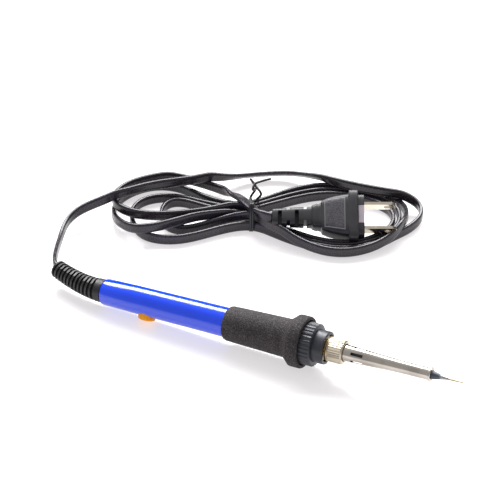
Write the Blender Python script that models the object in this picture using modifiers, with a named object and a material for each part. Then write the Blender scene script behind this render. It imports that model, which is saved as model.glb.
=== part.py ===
# Adjustable-temperature pencil soldering iron, resting on a table with its flat
# two-core mains cord hanked and tied behind it. Metres, +Z up, table at z = 0.
# Iron axis runs along +X (tip forward), tipped up by REST_TILT because it rests
# on the rim of the grip flange and on the temperature dial.
import math
import bpy
import bmesh
from mathutils import Matrix, Vector

# One drawing unit is 0.85 mm: the iron is 249 units long, which is 212 mm.
UNIT = 0.00085

# ---------------------------------------------------------------- dimensions
# iron, measured along its own axis back from the tip at LENGTH (units)
LENGTH = 247.0
BOOT_REAR_AT, BOOT_NECK_AT, BOOT_END_AT = -2.2, 27.5, 36.6
HANDLE_REAR, HANDLE_FRONT = 32.0, 152.0
GRIP_REAR, FLANGE_REAR, FLANGE_RIM, FLANGE_FRONT = 109.0, 145.5, 150.2, 156.0
COLLAR_RING_REAR, COLLAR_RING_FRONT, COLLAR_FRONT = 153.8, 162.4, 168.6
NUT_REAR, NUT_FRONT = 169.8, 178.7
BARREL_ROOT, BARREL_END = 176.1, 228.2
HEATER_REAR, HEATER_FRONT = 158.0, 219.0
DIAL_AT = 60.2

# radii (units)
BOOT_R_REAR, BOOT_R_FRONT, BOOT_NECK_R, BOOT_PLUG_R = 5.2, 6.4, 6.6, 5.5
HANDLE_R_REAR, HANDLE_R_MID, HANDLE_R_FRONT, HANDLE_BORE = 7.5, 8.25, 8.3, 5.9
GRIP_BORE, GRIP_R_REAR, GRIP_R_FRONT, FLANGE_R = 8.45, 9.65, 10.6, 14.3
COLLAR_RING_R, COLLAR_NOSE_R, COLLAR_BORE = 11.7, 9.1, 5.6
NUT_R, NUT_BORE, NUT_HOLE = 6.8, 5.75, 4.95
BARREL_R_ROOT, BARREL_R_END, BARREL_WALL, BARREL_LIP_R = 4.6, 3.3, 0.32, 3.95
TIP_SHANK_R, TIP_BORE = 2.62, 2.15
HEATER_R = 1.85
DIAL_R, DIAL_FACE_AT = 5.0, 9.7

REST_TILT = math.radians(2.4)      # axis rises towards the tip
DIAL_ROLL = math.radians(65.0)     # dial points this far below horizontal, on the -Y side
BARREL_SLOTS = 6
COLLAR_RIBS = 30
NUT_RIDGES = 36
BOOT_RIBS = 12

# cord, hank and plug (units), in a ground layout turned by LAYOUT_TURN about Z
LAYOUT_TURN = math.radians(26.5)
LAYOUT_AT = (33.96, 1.67)            # ground point under the front of the flange
CORD_D = 5.0
HANK_H = 5.6
HANK_TURN = math.radians(-7.5)
HANK_AT = (-26.0, 141.0)
HANK_HALF_LENGTH, HANK_WAIST_HALF = 86.5, 15.5
HANK_LOBE_LEFT, HANK_LOBE_RIGHT = 31.0, 36.5
TIE_X = -3.4                       # where the tie sits along the hank
PLUG_AT = (35.4, 121.7, 13.65)      # centre of the plug's face
PLUG_LEAN = math.radians(35.0)     # broad side leans back by this much
PLUG_W, PLUG_T, PLUG_BODY_L, PLUG_RELIEF_L = 31.0, 15.5, 32.0, 21.2
PLUG_BOSS = 3.5                    # raised middle of the face, round the blades
# blades are 12.7 mm apart, 15.9 mm long, 1.5 mm thick and 6.35 mm wide
BLADE_GAP, BLADE_L, BLADE_T, BLADE_W = 12.7 / 0.85, 15.9 / 0.85, 1.5 / 0.85, 6.35 / 0.85

NAME = "soldering_iron"

# ---------------------------------------------------------------- scene reset
for ob in list(bpy.data.objects):
    bpy.data.objects.remove(ob, do_unlink=True)
for col in list(bpy.data.collections):
    bpy.data.collections.remove(col)

scene = bpy.context.scene
parts = bpy.data.collections.new(NAME)
cutters = bpy.data.collections.new("cutters")
scene.collection.children.link(parts)
scene.collection.children.link(cutters)


# ---------------------------------------------------------------- helpers
def material(name, colour, rough, metal=0.0):
    m = bpy.data.materials.new(name)
    m.use_nodes = True
    b = m.node_tree.nodes["Principled BSDF"]
    b.inputs["Base Color"].default_value = (colour[0], colour[1], colour[2], 1.0)
    b.inputs["Roughness"].default_value = rough
    b.inputs["Metallic"].default_value = metal
    m.diffuse_color = (colour[0], colour[1], colour[2], 1.0)
    return m


def empty(name, loc=(0, 0, 0), rot=(0, 0, 0), parent=None):
    e = bpy.data.objects.new(name, None)
    e.empty_display_size = 0.01
    e.location = [c * UNIT for c in loc]
    e.rotation_euler = rot
    e.parent = parent
    parts.objects.link(e)
    return e


def put(name, data, mat, parent=None, loc=(0, 0, 0), rot=(0, 0, 0), smooth=True):
    ob = bpy.data.objects.new(name, data)
    ob.location = [c * UNIT for c in loc]
    ob.rotation_euler = rot
    ob.parent = parent
    parts.objects.link(ob)
    data.materials.clear()
    data.materials.append(mat)
    if smooth and isinstance(data, bpy.types.Mesh):
        data.shade_smooth()
        data.set_sharp_from_angle(angle=math.radians(35))
    return ob


def evaluated_mesh(ob):
    """Bake an object's modifiers into a fresh mesh."""
    dg = bpy.context.evaluated_depsgraph_get()
    dg.update()
    return bpy.data.meshes.new_from_object(ob.evaluated_get(dg))


def apply_modifiers(ob):
    bpy.context.view_layer.update()
    me = evaluated_mesh(ob)
    old = ob.data
    ob.modifiers.clear()
    ob.data = me
    bpy.data.meshes.remove(old)
    return ob


def turned(name, profile, mat, parent, segments=64, closed=True, loc=(0, 0, 0), rot=(0, math.pi / 2, 0)):
    """Solid of revolution. profile = (station, radius) pairs; the outer side is
    listed from the highest station down, then back up the bore if closed."""
    me = bpy.data.meshes.new(name)
    pts = [(r * UNIT, 0.0, s * UNIT) for s, r in profile]
    n = len(pts)
    edges = [(i, i + 1) for i in range(n - 1)]
    if closed:
        edges.append((n - 1, 0))
    me.from_pydata(pts, edges, [])
    ob = put(name, me, mat, parent, loc, rot, smooth=False)
    mod = ob.modifiers.new("turn", "SCREW")
    mod.axis = "Z"
    mod.angle = 2 * math.pi
    mod.steps = segments
    mod.render_steps = segments
    mod.use_merge_vertices = True
    mod.merge_threshold = 0.00001
    mod.use_smooth_shade = True
    mod.use_normal_calculate = True
    apply_modifiers(ob)
    bm = bmesh.new()
    bm.from_mesh(ob.data)
    bmesh.ops.remove_doubles(bm, verts=bm.verts, dist=1e-6)
    bmesh.ops.recalc_face_normals(bm, faces=bm.faces)
    bm.to_mesh(ob.data)
    bm.free()
    ob.data.materials.clear()
    ob.data.materials.append(mat)
    ob.data.shade_smooth()
    ob.data.set_sharp_from_angle(angle=math.radians(35))
    return ob


def ring_solid(name, rings, mat, parent, loc=(0, 0, 0), rot=(0, math.pi / 2, 0), closed=True, angle=35):
    """Skin a row of equal-count rings; closed joins last ring to first (hollow
    turned body), otherwise both ends are capped."""
    bm = bmesh.new()
    rows = [[bm.verts.new(p) for p in ring] for ring in rings]
    n = len(rows[0])
    count = len(rows)
    for j in range(count if closed else count - 1):
        a, b = rows[j], rows[(j + 1) % count]
        for i in range(n):
            k = (i + 1) % n
            bm.faces.new((a[i], a[k], b[k], b[i]))
    if not closed:
        bm.faces.new(rows[0])
        bm.faces.new(rows[-1])
    bmesh.ops.recalc_face_normals(bm, faces=bm.faces)
    me = bpy.data.meshes.new(name)
    bm.to_mesh(me)
    bm.free()
    ob = put(name, me, mat, parent, loc, rot)
    me.set_sharp_from_angle(angle=math.radians(angle))
    return ob


def ribbed_ring(station, radius, ribs, depth, per_rib=3):
    """One ring whose radius drops between ribs; the last points of each rib's
    share lie in the groove after it."""
    pts = []
    for i in range(ribs * per_rib):
        a = 2 * math.pi * i / (ribs * per_rib)
        low = (i % per_rib) >= (per_rib + 1) // 2
        r = (radius - (depth if low else 0.0)) * UNIT
        pts.append((r * math.cos(a), r * math.sin(a), station * UNIT))
    return pts


def smooth_path(points, per_span=6):
    """Catmull-Rom curve through hand-placed points."""
    P = [Vector(p) for p in points]
    P = [P[0] * 2 - P[1]] + P + [P[-1] * 2 - P[-2]]
    out = []
    for i in range(1, len(P) - 2):
        for j in range(per_span):
            t = j / per_span
            a, b, c, d = P[i - 1], P[i], P[i + 1], P[i + 2]
            out.append(0.5 * ((2 * b) + (c - a) * t + (2 * a - 5 * b + 4 * c - d) * t * t
                              + (3 * b - a - 3 * c + d) * t ** 3))
    out.append(P[-2])
    return out


def even_path(points, step):
    """Resample a polyline at an even spacing, keeping both ends."""
    dist = [0.0]
    for a, b in zip(points, points[1:]):
        dist.append(dist[-1] + (b - a).length)
    total = dist[-1]
    n = max(2, round(total / step))
    out, k = [], 0
    for i in range(n + 1):
        want = total * i / n
        while k < len(points) - 2 and dist[k + 1] < want:
            k += 1
        span = dist[k + 1] - dist[k]
        t = 0.0 if span == 0 else (want - dist[k]) / span
        out.append(points[k].lerp(points[k + 1], t))
    return out


def wire(name, points, radius, mat, parent=None, radii=None, res=2, loc=(0, 0, 0), rot=(0, 0, 0)):
    cu = bpy.data.curves.new(name, "CURVE")
    cu.dimensions = "3D"
    cu.bevel_depth = radius * UNIT
    cu.bevel_resolution = res
    cu.use_fill_caps = True
    cu.resolution_u = 1
    cu.render_resolution_u = 0
    sp = cu.splines.new("POLY")
    sp.points.add(len(points) - 1)
    for i, (sp_pt, q) in enumerate(zip(sp.points, points)):
        sp_pt.co = (q[0] * UNIT, q[1] * UNIT, q[2] * UNIT, 1.0)
        sp_pt.radius = 1.0 if radii is None else radii[i]
    return put(name, cu, mat, parent, loc, rot)


def curve_to_mesh(ob):
    """Swap a curve object for a mesh object of the same name and place."""
    bpy.context.view_layer.update()
    me = evaluated_mesh(ob)
    bm = bmesh.new()
    bm.from_mesh(me)
    bmesh.ops.remove_doubles(bm, verts=bm.verts, dist=1e-6)
    bmesh.ops.recalc_face_normals(bm, faces=bm.faces)
    bm.to_mesh(me)
    bm.free()
    name, mat, parent = ob.name, ob.data.materials[0], ob.parent
    loc, rot = ob.location.copy(), ob.rotation_euler.copy()
    bpy.data.objects.remove(ob, do_unlink=True)
    new = put(name, me, mat, parent)
    new.location, new.rotation_euler = loc, rot
    return new


def slab(name, outlines, height, mat, parent=None, loc=(0, 0, 0), rot=(0, 0, 0), bevel=0.0):
    """Extrude flat outlines (outer first, holes after) by height along Z."""
    cu = bpy.data.curves.new(name, "CURVE")
    cu.dimensions = "2D"
    cu.fill_mode = "BOTH"
    cu.extrude = height * UNIT / 2
    cu.bevel_depth = bevel * UNIT
    cu.resolution_u = 1
    cu.render_resolution_u = 0
    for line in outlines:
        sp = cu.splines.new("POLY")
        sp.points.add(len(line) - 1)
        for pt, (x, y) in zip(sp.points, line):
            pt.co = (x * UNIT, y * UNIT, 0.0, 1.0)
        sp.use_cyclic_u = True
    ob = put(name, cu, mat, parent, loc, rot)
    return curve_to_mesh(ob)


def box(name, size, mat, parent=None, loc=(0, 0, 0), rot=(0, 0, 0), bevel=0.0, where=None):
    bm = bmesh.new()
    bmesh.ops.create_cube(bm, size=1.0, matrix=Matrix.Diagonal((size[0] * UNIT, size[1] * UNIT, size[2] * UNIT, 1.0)))
    me = bpy.data.meshes.new(name)
    bm.to_mesh(me)
    bm.free()
    ob = put(name, me, mat, parent, loc, rot)
    if bevel:
        mod = ob.modifiers.new("edge", "BEVEL")
        mod.width = bevel * UNIT
        mod.segments = 2
        mod.limit_method = "ANGLE"
        apply_modifiers(ob)
        ob.data.shade_smooth()
        ob.data.set_sharp_from_angle(angle=math.radians(35))
    return ob


def cylinder(name, radius, length, mat, parent=None, loc=(0, 0, 0), rot=(0, 0, 0), segments=48, bevel=0.0, radius2=None):
    bm = bmesh.new()
    bmesh.ops.create_cone(bm, cap_ends=True, segments=segments, radius1=radius * UNIT,
                          radius2=(radius if radius2 is None else radius2) * UNIT, depth=length * UNIT)
    me = bpy.data.meshes.new(name)
    bm.to_mesh(me)
    bm.free()
    ob = put(name, me, mat, parent, loc, rot)
    if bevel:
        mod = ob.modifiers.new("edge", "BEVEL")
        mod.width = bevel * UNIT
        mod.segments = 3
        mod.limit_method = "ANGLE"
        mod.angle_limit = math.radians(40)
        apply_modifiers(ob)
        ob.data.shade_smooth()
        ob.data.set_sharp_from_angle(angle=math.radians(40))
    return ob


def cut(ob, tools):
    """Subtract the tools (mesh objects) from ob and park them as cutters."""
    for tool in tools:
        for c in list(tool.users_collection):
            c.objects.unlink(tool)
        cutters.objects.link(tool)
        tool.display_type = "WIRE"
        tool.hide_render = True
        mod = ob.modifiers.new("cut", "BOOLEAN")
        mod.operation = "DIFFERENCE"
        mod.solver = "EXACT"
        mod.object = tool
    bpy.context.view_layer.update()
    mat = ob.data.materials[0]
    apply_modifiers(ob)
    bm = bmesh.new()
    bm.from_mesh(ob.data)
    bmesh.ops.remove_doubles(bm, verts=bm.verts, dist=2e-6)
    bmesh.ops.dissolve_degenerate(bm, edges=bm.edges, dist=1e-6)
    bm.to_mesh(ob.data)
    bm.free()
    ob.data.materials.clear()
    ob.data.materials.append(mat)
    for p in ob.data.polygons:
        p.material_index = 0
    ob.data.shade_smooth()
    ob.data.set_sharp_from_angle(angle=math.radians(35))
    return ob


# ---------------------------------------------------------------- materials
M_BOOT = material("boot_pvc", (0.020, 0.020, 0.022), 0.55)
M_BLUE = material("blue_handle", (0.015, 0.09, 0.80), 0.22)
M_GRIP = material("grip_rubber", (0.035, 0.033, 0.035), 0.85)
M_COLLAR = material("collar_plastic", (0.075, 0.08, 0.095), 0.45)
M_DIAL = material("dial_orange", (0.95, 0.33, 0.02), 0.40)
M_NUT = material("nut_nickel", (0.78, 0.72, 0.62), 0.25, 1.0)
M_BUSH = material("bush_brass", (0.80, 0.62, 0.28), 0.30, 1.0)
M_TUBE = material("tube_steel", (0.70, 0.68, 0.65), 0.20, 1.0)
M_TIP = material("tip_plating", (0.62, 0.60, 0.58), 0.30, 1.0)
M_STEEL = material("flange_steel", (0.55, 0.55, 0.55), 0.35, 1.0)
M_SCREW = material("screw_steel", (0.60, 0.60, 0.60), 0.30, 1.0)
M_CERAMIC = material("heater_ceramic", (0.86, 0.84, 0.78), 0.55)
M_BASE = material("base_ceramic", (0.90, 0.89, 0.85), 0.60)
M_BOARD = material("board_laminate", (0.02, 0.22, 0.08), 0.45)
M_POT = material("pot_body", (0.02, 0.12, 0.45), 0.40)
M_SHAFT = material("pot_shaft", (0.90, 0.90, 0.86), 0.45)
M_CHIP = material("triac_epoxy", (0.02, 0.02, 0.02), 0.50)
M_FILM = material("capacitor_film", (0.70, 0.09, 0.04), 0.35)
M_RES = material("resistor_body", (0.62, 0.48, 0.32), 0.45)
M_DIAC = material("diac_glass", (0.15, 0.20, 0.55), 0.20)
M_WIRE_L = material("core_brown", (0.22, 0.07, 0.03), 0.45)
M_WIRE_N = material("core_blue", (0.02, 0.08, 0.45), 0.45)
M_LEAD = material("lead_glass_sleeve", (0.82, 0.80, 0.74), 0.80)
M_CLAMP = material("clamp_nylon", (0.80, 0.79, 0.74), 0.50)
M_CORD = material("cord_pvc", (0.022, 0.021, 0.024), 0.45)
M_TIE = material("tie_plastic", (0.02, 0.02, 0.02), 0.45)
M_PLUG = material("plug_pvc", (0.028, 0.027, 0.030), 0.55)
M_INSERT = material("plug_insert", (0.62, 0.56, 0.58), 0.35)
M_BLADE = material("blade_nickel", (0.82, 0.78, 0.68), 0.22, 1.0)

# ---------------------------------------------------------------- iron frame
AXIS_Z = FLANGE_R * math.cos(REST_TILT) - FLANGE_RIM * math.sin(REST_TILT) + 0.02
IRON_X = -(LENGTH + BOOT_REAR_AT) * math.cos(REST_TILT) / 2 + 0.8
iron = empty("iron_frame", (IRON_X, 0, AXIS_Z), (0, -REST_TILT, 0))

# ---------------------------------------------------------------- cord boot
# a ribbed strain relief whose rear end bends slightly to the +Y side and up
def boot_centre(s):
    back = max(0.0, BOOT_NECK_AT - s)
    return Vector((s, 0.0313 * back ** 1.6, 0.0075 * back ** 1.6))


boot_pts, boot_rad = [], []


def boot_station(s, r):
    boot_pts.append(boot_centre(s))
    boot_rad.append(r / BOOT_NECK_R)


pitch = (BOOT_NECK_AT - BOOT_REAR_AT) / BOOT_RIBS
for i in range(BOOT_RIBS):
    s0 = BOOT_REAR_AT + i * pitch
    crest = BOOT_R_REAR + (BOOT_R_FRONT - BOOT_R_REAR) * i / (BOOT_RIBS - 1)
    if i == 0:
        boot_station(s0, crest - 0.5)
        boot_station(s0 + 0.3, crest)
    else:
        boot_station(s0 + 0.06, crest)
    boot_station(s0 + 1.16, crest)
    boot_station(s0 + 1.26, crest - 1.5)
    boot_station(s0 + pitch - 0.02, crest - 1.5)
boot_station(BOOT_NECK_AT + 0.1, BOOT_NECK_R)
boot_station(HANDLE_REAR - 0.30, BOOT_NECK_R + 0.1)
boot_station(HANDLE_REAR - 0.22, BOOT_PLUG_R)
boot_station(BOOT_END_AT, BOOT_PLUG_R)
boot = wire("cord_boot", boot_pts, BOOT_NECK_R, M_BOOT, iron, boot_rad, res=4)

# ---------------------------------------------------------------- handle
handle = turned("handle_tube", [
    (HANDLE_FRONT, 6.6), (HANDLE_FRONT, HANDLE_R_FRONT - 0.4), (HANDLE_FRONT - 0.4, HANDLE_R_FRONT),
    (GRIP_REAR, HANDLE_R_MID), (HANDLE_REAR + 20, HANDLE_R_REAR + 0.3),
    (HANDLE_REAR + 1.6, HANDLE_R_REAR), (HANDLE_REAR + 0.5, HANDLE_R_REAR - 0.35), (HANDLE_REAR, HANDLE_R_REAR - 0.95),
    (HANDLE_REAR, HANDLE_BORE), (142.0, HANDLE_BORE), (142.0, 6.6),
], M_BLUE, iron, segments=52)

roll = DIAL_ROLL - math.pi / 2      # turns -Z into the dial's direction about the axis
dial_frame = empty("dial_axis", (DIAL_AT, 0, 0), (roll, 0, 0), iron)
# in this frame the dial points along -Z, so flip once more to make it +Z
dial_out = empty("dial_out", (0, 0, 0), (math.pi, 0, 0), dial_frame)

dial_hole = cylinder("cut_dial_hole", DIAL_R + 0.45, 6.0, M_BLUE, dial_out, (0, 0, 6.6), segments=48)
bpy.context.view_layer.update()
cut(handle, [dial_hole])

# temperature dial: domed knob with a screwdriver slot and a finger knurl
DIAL_FOOT = 4.35
rings = []
for z, r, knurl in ((DIAL_FACE_AT - 0.75, 2.9, 0.0), (DIAL_FACE_AT - 0.75, 3.1, 0.0),
                    (DIAL_FACE_AT, 3.35, 0.0), (DIAL_FACE_AT - 0.02, 3.9, 0.0), (DIAL_FACE_AT - 0.28, 4.5, 0.0),
                    (DIAL_FACE_AT - 0.75, 4.85, 0.0), (DIAL_FACE_AT - 1.3, DIAL_R, 0.22),
                    (DIAL_FOOT + 0.3, DIAL_R, 0.22), (DIAL_FOOT, DIAL_R - 0.3, 0.0),
                    (DIAL_FOOT, 1.75, 0.0), (DIAL_FACE_AT - 2.6, 1.75, 0.0)):
    ring = []
    for i in range(64):
        a = 2 * math.pi * i / 64
        rr = (r - (knurl if i % 4 >= 2 else 0.0)) * UNIT
        ring.append((rr * math.cos(a), rr * math.sin(a), z * UNIT))
    rings.append(ring)
dial = ring_solid("temperature_dial", rings, M_DIAL, dial_out, rot=(0, 0, 0), closed=False)
cut(dial, [box("cut_dial_slot", (6.0, 1.1, 1.6), M_DIAL, dial_out, (0, 0, DIAL_FACE_AT - 0.3))])

# ---------------------------------------------------------------- electronics
board = box("circuit_board", (54.0, 10.0, 1.2), M_BOARD, dial_out, (13.5, 0, -1.5), bevel=0.0)
cut(board, [cylinder("cut_board_hole_%d" % i, 0.7, 3.0, M_BOARD, dial_out, (x, y, -1.5), segments=24)
            for i, (x, y) in enumerate(((-11.2, 2.6), (-11.2, -2.6), (37.5, 2.6), (37.5, -2.6)))])
pot = box("potentiometer_body", (7.0, 7.0, 4.3), M_POT, dial_out, (0, 0, 1.6), bevel=0.4)
cut(pot, [cylinder("cut_pot_well", 1.75, 2.4, M_POT, dial_out, (0, 0, 3.75), segments=32)])
shaft = cylinder("potentiometer_shaft", 1.4, 3.6, M_SHAFT, dial_out, (0, 0, 4.7), segments=24, bevel=0.15)
triac = box("triac", (4.6, 3.8, 4.4), M_CHIP, dial_out, (16.0, 0, 1.62), bevel=0.35)
cut(triac, [cylinder("cut_triac_flat", 3.0, 6.0, M_CHIP, dial_out, (16.0, -4.35, 1.62), segments=32)])
film = box("film_capacitor", (7.4, 4.2, 4.6), M_FILM, dial_out, (25.0, 0, 1.72), bevel=0.9)


def resistor(name, at, length, r, mat):
    """Dumb-bell bodied axial part lying along the board."""
    h = length / 2
    return turned(name, [(h, 0.0), (h, r * 0.62), (h - 0.4, r), (h - 1.3, r), (h - 1.6, r * 0.86),
                         (-h + 1.6, r * 0.86), (-h + 1.3, r), (-h + 0.4, r), (-h, r * 0.62), (-h, 0.0)],
                  mat, dial_out, segments=24, closed=False, loc=at)


resistor("resistor", (33.0, -2.2, 0.65), 6.4, 1.15, M_RES)
resistor("diac", (33.0, 2.4, 0.25), 5.2, 0.8, M_DIAC)

# mains cores from the cord clamp to the rear pads, on the component side
for tag, side, mat in (("live", 1, M_WIRE_L), ("neutral", -1, M_WIRE_N)):
    pts = smooth_path([(-16.6, side * 1.5, 0.9), (-14.6, side * 1.9, 1.3), (-12.4, side * 2.5, 1.25),
                       (-11.3, side * 2.6, 0.5), (-11.2, side * 2.6, -0.55)], 4)
    wire("core_wire_" + tag, pts, 0.8, mat, dial_out, res=2)
clamp = box("cord_clamp", (4.6, 9.4, 4.6), M_CLAMP, dial_out, (-19.2, 0, 0.0), bevel=0.6)

# sleeved heater leads from the front pads into the rear of the heater
for tag, side in (("a", 1), ("b", -1)):
    pts = smooth_path([(37.5, side * 2.6, -0.55), (37.9, side * 2.6, 1.0), (41.0, side * 2.5, 1.8),
                       (60.0, side * 1.4, 0.9), (80.0, side * 1.2, 0.2), (99.2, side * 0.95, 0.0)], 4)
    wire("heater_lead_" + tag, pts, 0.55, M_LEAD, dial_out, res=2)

# ---------------------------------------------------------------- grip sleeve
grip = turned("grip_sleeve", [
    (FLANGE_FRONT, 12.5), (FLANGE_FRONT, FLANGE_R - 0.7), (FLANGE_FRONT - 0.25, FLANGE_R - 0.25), (FLANGE_FRONT - 0.8, FLANGE_R),
    (FLANGE_RIM, FLANGE_R), (FLANGE_RIM - 0.5, FLANGE_R - 0.12), (FLANGE_RIM - 1.2, FLANGE_R - 0.7),
    (FLANGE_REAR + 1.2, 11.6), (FLANGE_REAR, GRIP_R_FRONT + 0.25), (FLANGE_REAR - 1.4, GRIP_R_FRONT),
    (GRIP_REAR + 14, GRIP_R_REAR + 0.4), (GRIP_REAR + 1.6, GRIP_R_REAR), (GRIP_REAR + 0.5, GRIP_R_REAR - 0.35),
    (GRIP_REAR, GRIP_R_REAR - 0.8), (GRIP_REAR, GRIP_BORE),
    (152.8, GRIP_BORE), (152.8, 12.5),
], M_GRIP, iron, segments=52)

# ---------------------------------------------------------------- collar
ring_lines = [
    (COLLAR_FRONT, 7.55, 0), (COLLAR_FRONT, COLLAR_NOSE_R - 0.35, 0), (COLLAR_FRONT - 0.35, COLLAR_NOSE_R, 0),
    (COLLAR_RING_FRONT, COLLAR_NOSE_R, 0), (COLLAR_RING_FRONT, COLLAR_RING_R - 1.0, 0),
    (COLLAR_RING_FRONT - 0.5, COLLAR_RING_R, 0.42), (COLLAR_RING_REAR + 0.5, COLLAR_RING_R, 0.42),
    (COLLAR_RING_REAR, COLLAR_RING_R - 1.0, 0), (COLLAR_RING_REAR, 7.0, 0), (152.6, 6.2, 0),
    (143.0, 6.2, 0), (143.0, COLLAR_BORE - 0.8, 0), (165.4, COLLAR_BORE - 0.8, 0), (165.4, 7.55, 0)]
collar = ring_solid("insulating_collar", [ribbed_ring(s, r, COLLAR_RIBS, d) for s, r, d in ring_lines],
                    M_COLLAR, iron, angle=30)

# ---------------------------------------------------------------- heater group
flange = turned("heater_flange", [
    (166.9, 4.7), (166.9, 7.2), (165.7, 7.2), (165.7, 4.7)], M_STEEL, iron, segments=36)
for i in range(3):
    a = math.radians(90 + 120 * i)
    hole_at = (0, 6.05 * math.cos(a), 6.05 * math.sin(a))
    cut(flange, [cylinder("cut_flange_hole_%d" % (i + 1), 0.55, 3.0, M_STEEL, iron,
                          (166.3, hole_at[1], hole_at[2]), (0, math.pi / 2, 0), segments=20)])
    turned("flange_screw_%d" % (i + 1), [
        (167.55, 0.0), (167.55, 0.7), (167.4, 0.9), (167.05, 0.9), (167.05, 0.35), (165.9, 0.35), (165.9, 0.0)],
        M_SCREW, iron, segments=20, closed=False, loc=hole_at)

thread = []
for i in range(5):
    s = 175.2 - i * 1.0
    thread += [(s, 4.95), (s - 0.35, 5.35), (s - 0.7, 4.95)]
bush = turned("threaded_bush", [(175.6, 4.0), (175.6, 4.7)] + thread + [
    (170.0, 4.95), (169.45, 4.95), (169.45, 6.75), (168.95, 6.75), (168.95, 4.8), (167.2, 4.8), (167.2, 4.0)],
    M_BUSH, iron, segments=32)

base = turned("heater_base", [
    (173.6, HEATER_R + 0.2), (173.6, 3.1), (173.1, 3.6), (158.6, 3.6), (158.0, 3.1), (158.0, 2.9),
    (159.5, 2.9), (159.5, HEATER_R + 0.2)], M_BASE, iron, segments=28)
heater = turned("ceramic_heater", [
    (HEATER_FRONT, 0.0), (HEATER_FRONT, HEATER_R - 0.35), (HEATER_FRONT - 0.35, HEATER_R),
    (HEATER_REAR + 2.2, HEATER_R), (HEATER_REAR + 2.0, HEATER_R - 0.2), (HEATER_REAR + 2.0, 0.0)],
    M_CERAMIC, iron, segments=24, closed=False)

# ---------------------------------------------------------------- nut, barrel, tip
nut_lines = [
    (NUT_FRONT, NUT_HOLE, 0), (NUT_FRONT, NUT_R - 0.75, 0), (NUT_FRONT - 0.45, NUT_R - 0.28, 0),
    (NUT_FRONT - 0.9, NUT_R, 0.26), (NUT_REAR + 1.15, NUT_R, 0.26), (NUT_REAR + 0.95, NUT_R - 0.3, 0),
    (NUT_REAR + 0.75, NUT_R - 0.3, 0), (NUT_REAR + 0.6, NUT_R, 0), (NUT_REAR + 0.2, NUT_R, 0),
    (NUT_REAR, NUT_R - 0.2, 0), (NUT_REAR, NUT_BORE, 0), (177.3, NUT_BORE, 0), (177.3, NUT_HOLE, 0)]
nut = ring_solid("tip_nut", [ribbed_ring(s, r, NUT_RIDGES, d, 2) for s, r, d in nut_lines],
                 M_NUT, iron, angle=30)

w = BARREL_WALL
barrel = turned("tip_enclosure", [
    (BARREL_END, 2.55), (BARREL_END, BARREL_LIP_R - 0.35), (BARREL_END - 0.2, BARREL_LIP_R - 0.08),
    (BARREL_END - 0.55, BARREL_LIP_R), (BARREL_END - 1.0, BARREL_LIP_R - 0.1), (BARREL_END - 1.3, BARREL_R_END + 0.05),
    (215.0, BARREL_R_END + 0.06), (205.0, 3.62), (192.0, 4.12), (183.0, BARREL_R_ROOT - 0.1), (BARREL_ROOT + 1.0, BARREL_R_ROOT),
    (BARREL_ROOT + 0.9, 5.35), (BARREL_ROOT, 5.35),
    (BARREL_ROOT, BARREL_R_ROOT - w), (183.0, BARREL_R_ROOT - 0.1 - w), (192.0, 4.12 - w), (205.0, 3.62 - w),
    (215.0, BARREL_R_END + 0.06 - w), (BARREL_END - 0.9, BARREL_R_END - w), (BARREL_END - 0.9, 2.55),
], M_TUBE, iron, segments=36)

slots = []
for i in range(BARREL_SLOTS):
    a = 2 * math.pi * i / BARREL_SLOTS + math.radians(20)
    t = box("cut_barrel_slot_%d" % (i + 1), (6.8, 1.5, 4.0), M_TUBE, iron,
            (186.6, 5.0 * math.cos(a), 5.0 * math.sin(a)), (a - math.pi / 2, 0, 0))
    slots.append(t)
cut(barrel, slots)

tip = turned("soldering_tip", [
    (LENGTH, 0.0), (LENGTH - 0.08, 0.16), (LENGTH - 0.5, 0.27), (LENGTH - 4.0, 0.38), (LENGTH - 8.6, 0.62), (236.0, 0.95), (233.4, 1.35),
    (228.9, 2.25), (228.2, 2.32), (227.05, 2.32), (227.05, 2.7), (225.6, 2.7), (225.4, TIP_SHANK_R),
    (178.3, TIP_SHANK_R), (178.0, TIP_SHANK_R - 0.25), (178.0, TIP_BORE), (220.0, TIP_BORE), (220.0, 0.0)],
    M_TIP, iron, segments=32, closed=False)

# ---------------------------------------------------------------- cord and plug
lay = empty("layout_frame", (LAYOUT_AT[0], LAYOUT_AT[1], 0), (0, 0, LAYOUT_TURN))
lay_matrix = Matrix.Translation(Vector((LAYOUT_AT[0], LAYOUT_AT[1], 0))) @ Matrix.Rotation(LAYOUT_TURN, 4, "Z")

iron_matrix = (Matrix.Translation(Vector((IRON_X, 0, AXIS_Z)))
               @ Matrix.Rotation(-REST_TILT, 4, "Y"))


def to_layout(p_iron):
    """Iron-frame point expressed in the ground layout frame (units)."""
    return lay_matrix.inverted() @ (iron_matrix @ Vector(p_iron))


def hank_point(x, y, z):
    """Point of the ground layout given along, across and above the hank."""
    c, n = math.cos(HANK_TURN), math.sin(HANK_TURN)
    return Vector((HANK_AT[0] + x * c - y * n, HANK_AT[1] + x * n + y * c, z))


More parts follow.
